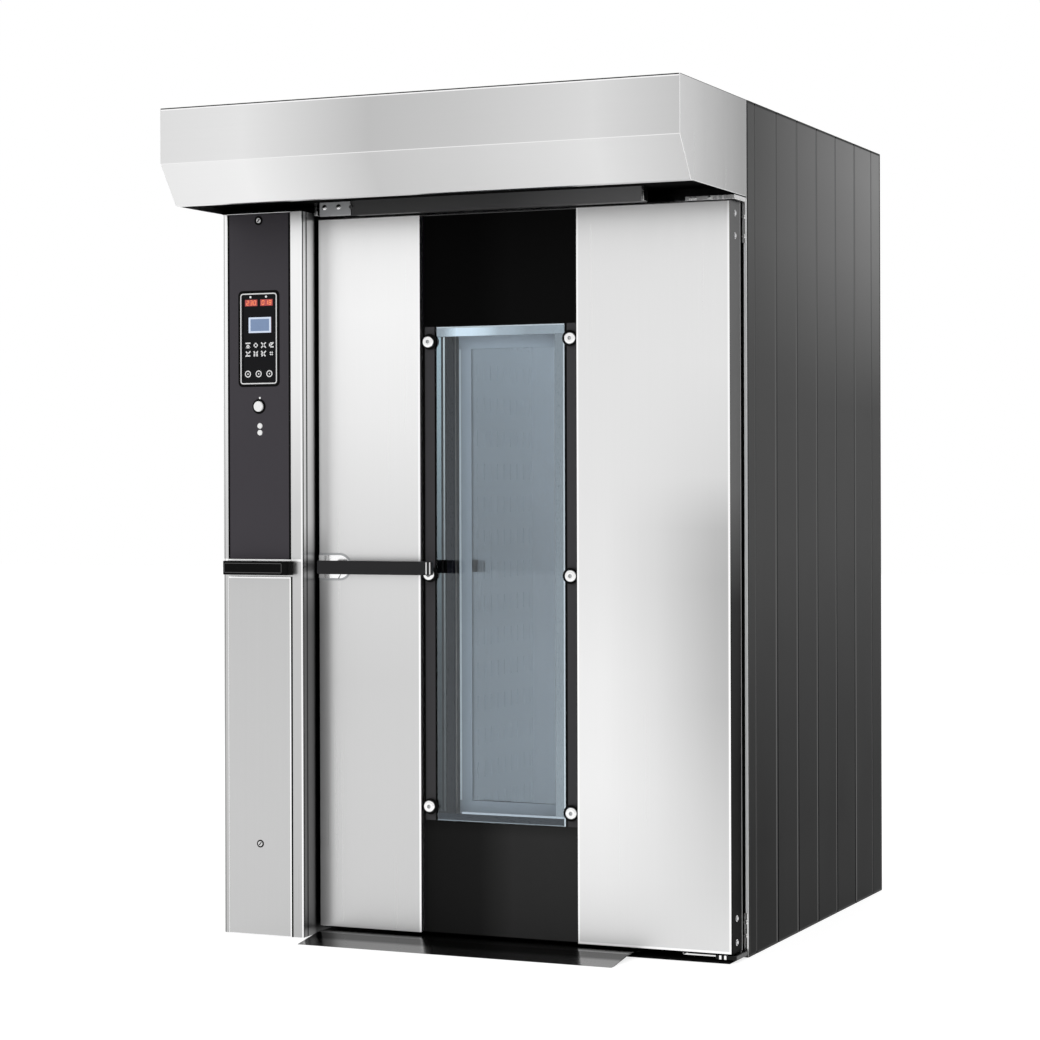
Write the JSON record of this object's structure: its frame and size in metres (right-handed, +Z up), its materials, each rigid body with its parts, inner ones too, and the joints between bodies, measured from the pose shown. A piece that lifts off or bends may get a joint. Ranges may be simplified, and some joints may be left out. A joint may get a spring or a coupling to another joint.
{
  "type": "rotating rack oven",
  "caption": "Insulated rack oven with a hinged window door, turning ceiling rack hook, side heater and fan, control column, steam hood and entry ramp.",
  "frame": {"origin": "on the floor, midway across the front plane of the door frame", "axes": "+Z up, +X to the right of someone who faces the door, +Y to the back"},
  "size_m": [1.51, 1.813, 2.42],
  "materials": {
    "black_plastic": "black plastic",
    "black_steel": "black coated steel, semi-gloss",
    "bolt_steel": "bright zinc plated steel",
    "bright_frame": "bright brushed stainless steel",
    "bronze": "bronze bush",
    "button_cap": "bright round caps",
    "dark_cladding": "dark grey coated steel, satin",
    "display": "display windows",
    "fascia": "anthracite coated steel, satin",
    "galvanised": "plain galvanised steel",
    "glass": "clear tempered glass, faint blue",
    "grey_steel": "dark grey coated steel",
    "heater": "oxidised heating tube",
    "keypad": "dark keypad foil",
    "motor_paint": "motor paint",
    "pale_keys": "pale grey key foil",
    "silicone": "silicone seal",
    "stainless": "vertical brushed stainless steel",
    "white_plastic": "white glossy plastic",
    "wool": "mineral wool"
  },
  "bodies": {
    "cabinet": {"base_frame": "galvanised", "floor_plate": "stainless", "entry_ramp": "stainless", "front_frame": "bright_frame", "right_cladding": "dark_cladding", "left_cladding": "dark_cladding", "rear_cladding": "dark_cladding", "roof_panel": "galvanised", "wall_insulation": "wool", "chamber_walls": "stainless", "chamber_ceiling": "stainless", "air_diffuser": "stainless", "hood_front": "stainless", "hood_top": "stainless", "hood_ends": "stainless", "hood_filters": "black_steel", "exhaust_spigot": "galvanised", "column_housing": "stainless", "control_fascia": "fascia", "keypad_bezel": "keypad", "displays": "display", "membrane_keys": "pale_keys", "indicator_lamps": "white_plastic", "button_ring": "black_plastic", "service_panel": "stainless", "column_band": "black_plastic", "power_unit": "grey_steel", "hinge_brackets": "bolt_steel", "steam_deflector": "grey_steel", "latch_keeper": "bolt_steel", "heating_elements": "heater", "steam_troughs": "stainless", "fan_shelf": "stainless", "fan_motor": "motor_paint", "rack_gearmotor": "motor_paint", "vent_pipe": "galvanised", "supply_inlets": "black_plastic"},
    "door": {"door_left_skin": "stainless", "door_right_skin": "stainless", "door_centre_panel": "black_steel", "door_edges": "black_steel", "door_inner_skin": "stainless", "door_insulation": "wool", "window_reveal": "grey_steel", "window_outer_glass": "glass", "window_inner_glass": "glass", "glass_buttons": "button_cap", "door_gasket": "silicone", "door_bushes": "bronze", "handle_plate": "stainless"},
    "handle": {"door_handle": "black_steel"},
    "carrier": {"rack_carrier": "stainless"},
    "fan": {"circulation_impeller": "stainless"},
    "damper": {"steam_damper": "galvanised"},
    "key_left": {"key_left": "pale_keys"},
    "key_middle": {"key_middle": "pale_keys"},
    "key_right": {"key_right": "pale_keys"},
    "push_button": {"push_button": "white_plastic"},
    "fascia_lock": {"fascia_lock": "bolt_steel"},
    "service_lock": {"service_lock": "bolt_steel"}
  },
  "joints": [
    {"name": "door_hinge", "type": "hinge", "parent": "cabinet", "child": "door", "pos_m": [0.715, -0.075, 0], "axis": [0, 0, 1], "range_deg": [0, 170]},
    {"name": "handle_pivot", "type": "hinge", "parent": "door", "child": "handle", "pos_m": [-0.422, -0.1, 1.04], "axis": [0, -1, 0], "range_deg": [0, 45]},
    {"name": "carrier_turn", "type": "hinge", "parent": "cabinet", "child": "carrier", "pos_m": [0.13, 0.63, 1.96], "axis": [0, 0, 1], "continuous": true},
    {"name": "fan_spin", "type": "hinge", "parent": "cabinet", "child": "fan", "pos_m": [-0.515, 0.63, 1.83], "axis": [0, 0, 1], "continuous": true},
    {"name": "damper_turn", "type": "hinge", "parent": "cabinet", "child": "damper", "pos_m": [0.42, 1.07, 2.31], "axis": [1, 0, 0], "range_deg": [0, 90]},
    {"name": "key_left_press", "type": "slide", "parent": "cabinet", "child": "key_left", "axis": [0, 1, 0], "range_m": [0, 0.0015], "stiffness_N_per_m": 600},
    {"name": "key_middle_press", "type": "slide", "parent": "cabinet", "child": "key_middle", "axis": [0, 1, 0], "range_m": [0, 0.0015], "stiffness_N_per_m": 600},
    {"name": "key_right_press", "type": "slide", "parent": "cabinet", "child": "key_right", "axis": [0, 1, 0], "range_m": [0, 0.0015], "stiffness_N_per_m": 600},
    {"name": "push_button_press", "type": "slide", "parent": "cabinet", "child": "push_button", "axis": [0, 1, 0], "range_m": [0, 0.003], "stiffness_N_per_m": 500},
    {"name": "fascia_lock_turn", "type": "hinge", "parent": "cabinet", "child": "fascia_lock", "pos_m": [-0.63275, -0.18, 2.018], "axis": [0, 1, 0], "range_deg": [0, 90]},
    {"name": "service_lock_turn", "type": "hinge", "parent": "cabinet", "child": "service_lock", "pos_m": [-0.63275, -0.18, 0.258], "axis": [0, 1, 0], "range_deg": [0, 90]}
  ]
}
